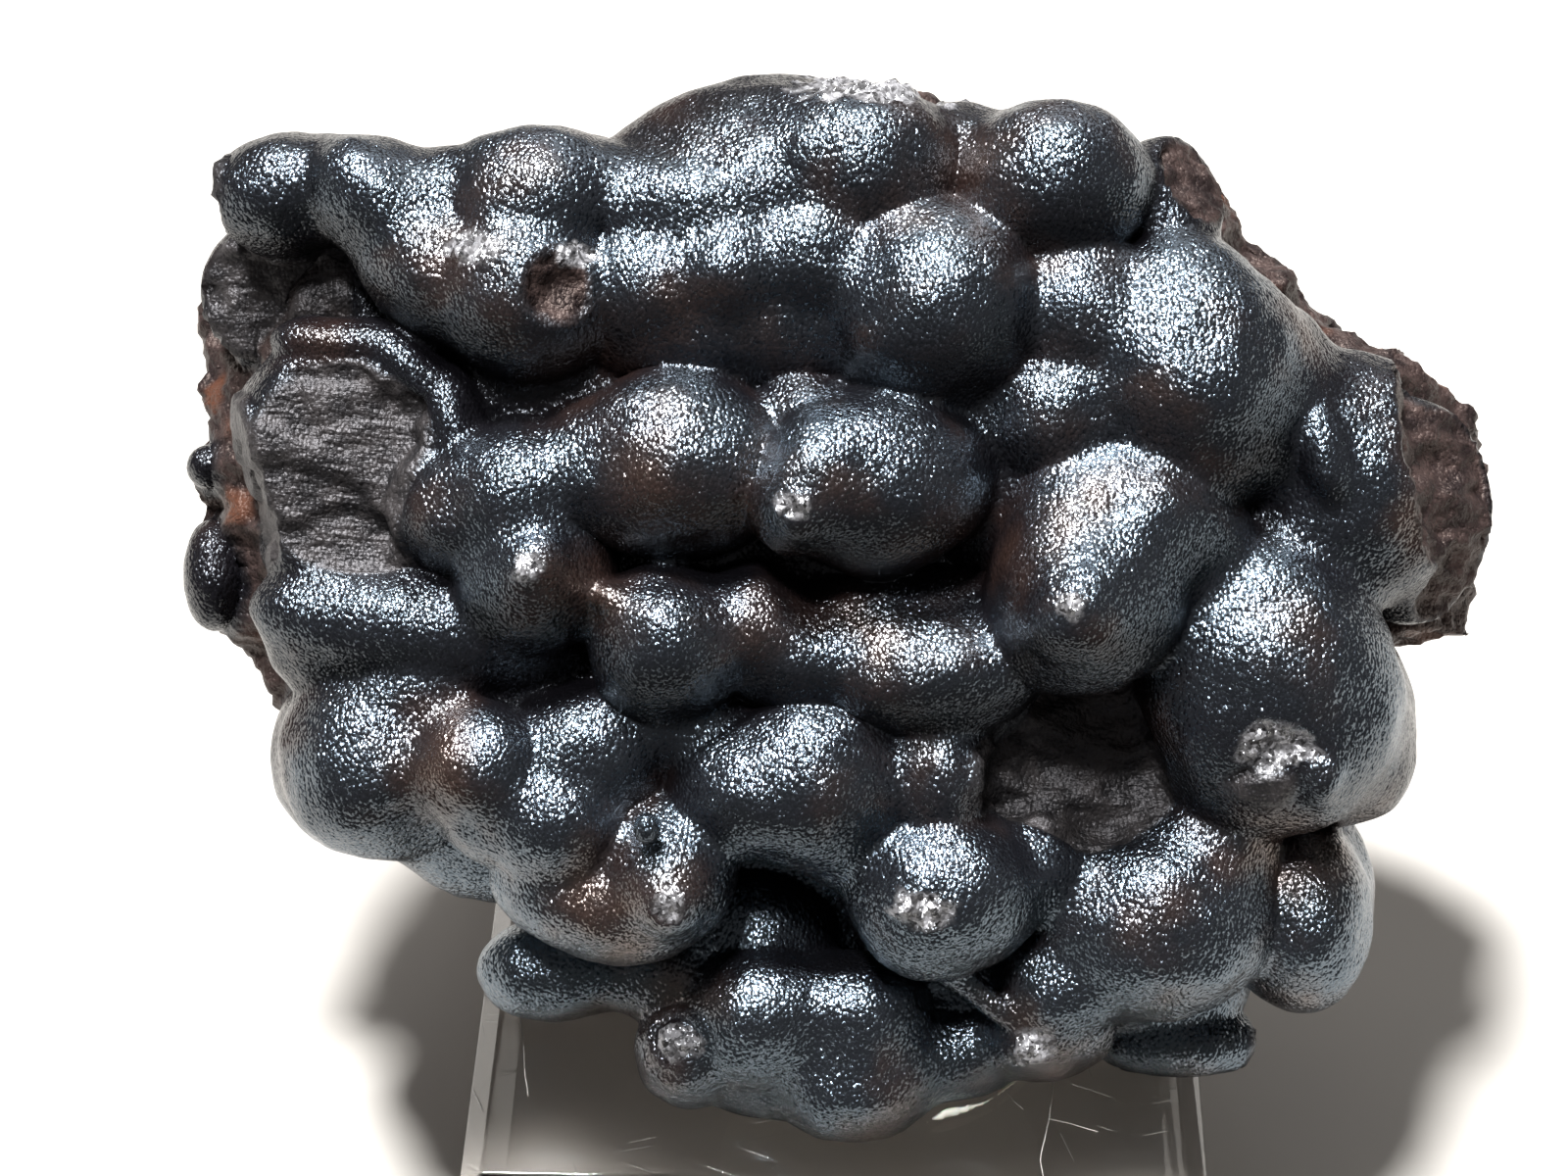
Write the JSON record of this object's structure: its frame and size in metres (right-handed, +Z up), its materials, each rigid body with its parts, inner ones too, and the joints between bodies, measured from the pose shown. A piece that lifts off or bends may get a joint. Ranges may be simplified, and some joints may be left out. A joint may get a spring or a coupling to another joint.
{
  "type": "goethite specimen on display base",
  "caption": "Botryoidal goethite with fused black lumps and broken brown edges, bedded in white putty on a square clear acrylic block.",
  "frame": {"origin": "centre of the acrylic block's underside", "axes": "+Z up, +X across the specimen's long way, the lumpy face looks towards -Y and up"},
  "size_m": [0.0915, 0.0623, 0.0739],
  "materials": {
    "goethite": "submetallic near-black skin, sparkling, with brown broken edges",
    "clear_acrylic": "polished, clear",
    "putty": "soft satin white"
  },
  "bodies": {
    "root": {"goethite_specimen": "goethite", "acrylic_block": "clear_acrylic", "putty_pad": "putty"}
  },
  "joints": []
}
